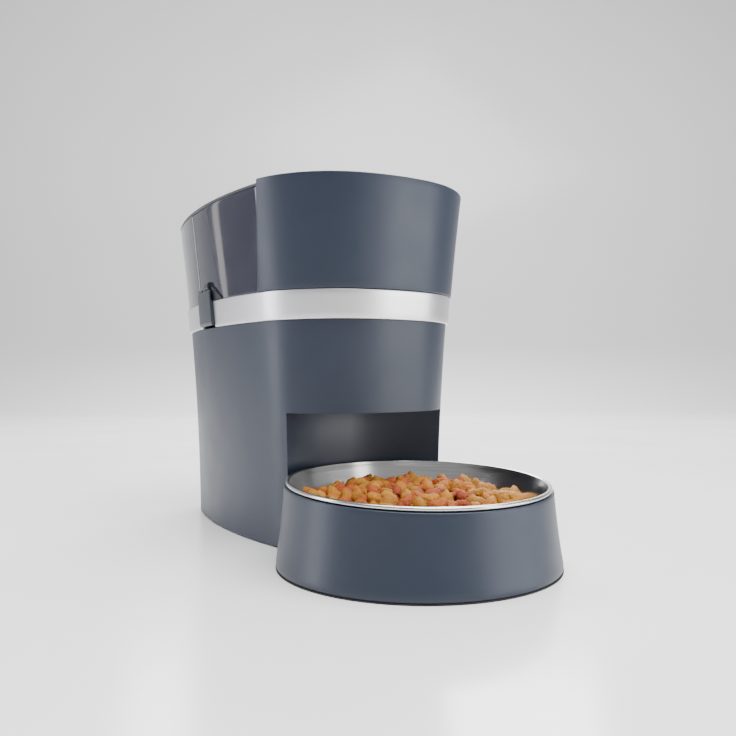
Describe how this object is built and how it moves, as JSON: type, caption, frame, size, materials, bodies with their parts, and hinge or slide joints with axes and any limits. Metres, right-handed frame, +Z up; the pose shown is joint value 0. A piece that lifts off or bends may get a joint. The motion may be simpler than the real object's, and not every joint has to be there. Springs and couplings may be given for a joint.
{
  "type": "automatic pet feeder",
  "caption": "Counter-standing dry-food feeder: flared oval body with silver band, smoky lift-off hopper, hinged lid, portioning wheel and pull-out stand with a steel bowl.",
  "frame": {"origin": "on the counter, under the middle of the box round the whole feeder", "axes": "+Z up, -Y towards the bowl and the pet, +X to the right seen from the front"},
  "size_m": [0.2362, 0.4904, 0.311],
  "materials": {
    "slate_plastic": "satin moulded plastic",
    "silver_trim": "satin silver finish",
    "smoky_clear": "glossy smoky tint",
    "black_plastic": "fine texture",
    "bowl_steel": "brushed inside, polished rim",
    "rubber_black": "matt",
    "grey_plastic": "matt",
    "nylon_white": "natural nylon",
    "silicone_vane": "soft",
    "steel_part": "turned",
    "zinc_screw": "zinc plated",
    "board_green": "solder mask",
    "chip_black": "moulded",
    "brass_contact": "plated",
    "cell_wrap": "printed sleeve",
    "light_pipe": "clear"
  },
  "bodies": {
    "root": {"base_housing": "slate_plastic", "base_plate": "black_plastic", "base_screws": "zinc_screw", "base_feet": "rubber_black", "silver_band": "silver_trim", "latch_pins": "steel_part", "dispenser_casing": "grey_plastic", "casing_screws": "zinc_screw", "throat_seal": "rubber_black", "chute_nozzle": "grey_plastic", "chute_sensors": "chip_black", "shaft_bushes": "nylon_white", "gear_case": "grey_plastic", "gearmotor_box": "steel_part", "motor_can": "steel_part", "control_board": "board_green", "board_screws": "zinc_screw", "board_parts": "chip_black", "button_switch": "chip_black", "button_bezel": "black_plastic", "status_light": "light_pipe", "power_jack": "black_plastic", "battery_tray": "black_plastic", "battery_cells": "cell_wrap", "battery_contacts": "brass_contact"},
    "dispenser": {"paddle_wheel": "silicone_vane", "wheel_shaft": "steel_part", "wheel_gear": "nylon_white"},
    "pinion": {"motor_pinion": "nylon_white", "pinion_shaft": "steel_part"},
    "hopper": {"hopper_shell": "smoky_clear", "hopper_funnel": "black_plastic", "front_panel": "slate_plastic", "hinge_rail": "slate_plastic", "lid_hinge_pins": "steel_part", "hopper_catches": "black_plastic"},
    "lid": {"lid": "slate_plastic", "lid_gasket": "rubber_black"},
    "latch_left": {"latch_left": "black_plastic"},
    "latch_right": {"latch_right": "black_plastic"},
    "battery_door": {"battery_door": "slate_plastic"},
    "feed_button": {"feed_button": "slate_plastic"},
    "stand": {"bowl_stand": "slate_plastic", "stand_ring": "rubber_black"},
    "bowl": {"bowl": "bowl_steel"}
  },
  "joints": [
    {"name": "wheel_spin", "type": "hinge", "parent": "root", "child": "dispenser", "pos_m": [0, -0.008, 0.153], "axis": [1, 0, 0], "continuous": true},
    {"name": "pinion_spin", "type": "hinge", "parent": "root", "child": "pinion", "pos_m": [0, 0.0282, 0.153], "axis": [1, 0, 0], "continuous": true},
    {"name": "hopper_lift", "type": "slide", "parent": "root", "child": "hopper", "axis": [0, 0, 1], "range_m": [0, 0.15]},
    {"name": "lid_hinge", "type": "hinge", "parent": "hopper", "child": "lid", "pos_m": [0, 0.234, 0.3068], "axis": [-1, 0, 0], "range_deg": [0, 95]},
    {"name": "latch_left_swing", "type": "hinge", "parent": "root", "child": "latch_left", "pos_m": [-0.1057, 0.075, 0.198], "axis": [0, -1, 0], "range_deg": [0, 35]},
    {"name": "latch_right_swing", "type": "hinge", "parent": "root", "child": "latch_right", "pos_m": [0.1057, 0.075, 0.198], "axis": [0, 1, 0], "range_deg": [0, 35]},
    {"name": "battery_door_slide", "type": "slide", "parent": "root", "child": "battery_door", "axis": [0, 1, 0], "range_m": [0, 0.06]},
    {"name": "feed_button_press", "type": "slide", "parent": "root", "child": "feed_button", "axis": [0, -1, 0], "range_m": [0, 0.0015], "stiffness_N_per_m": 600, "springref_m": -0.001},
    {"name": "stand_slide", "type": "slide", "parent": "root", "child": "stand", "axis": [0, -1, 0], "range_m": [0, 0.12]},
    {"name": "bowl_lift", "type": "slide", "parent": "stand", "child": "bowl", "axis": [0, -0.0401, 0.9992], "range_m": [0, 0.042]}
  ],
  "couplings": [
    {"joint": "pinion_spin", "follows": "wheel_spin", "ratio": -3}
  ]
}
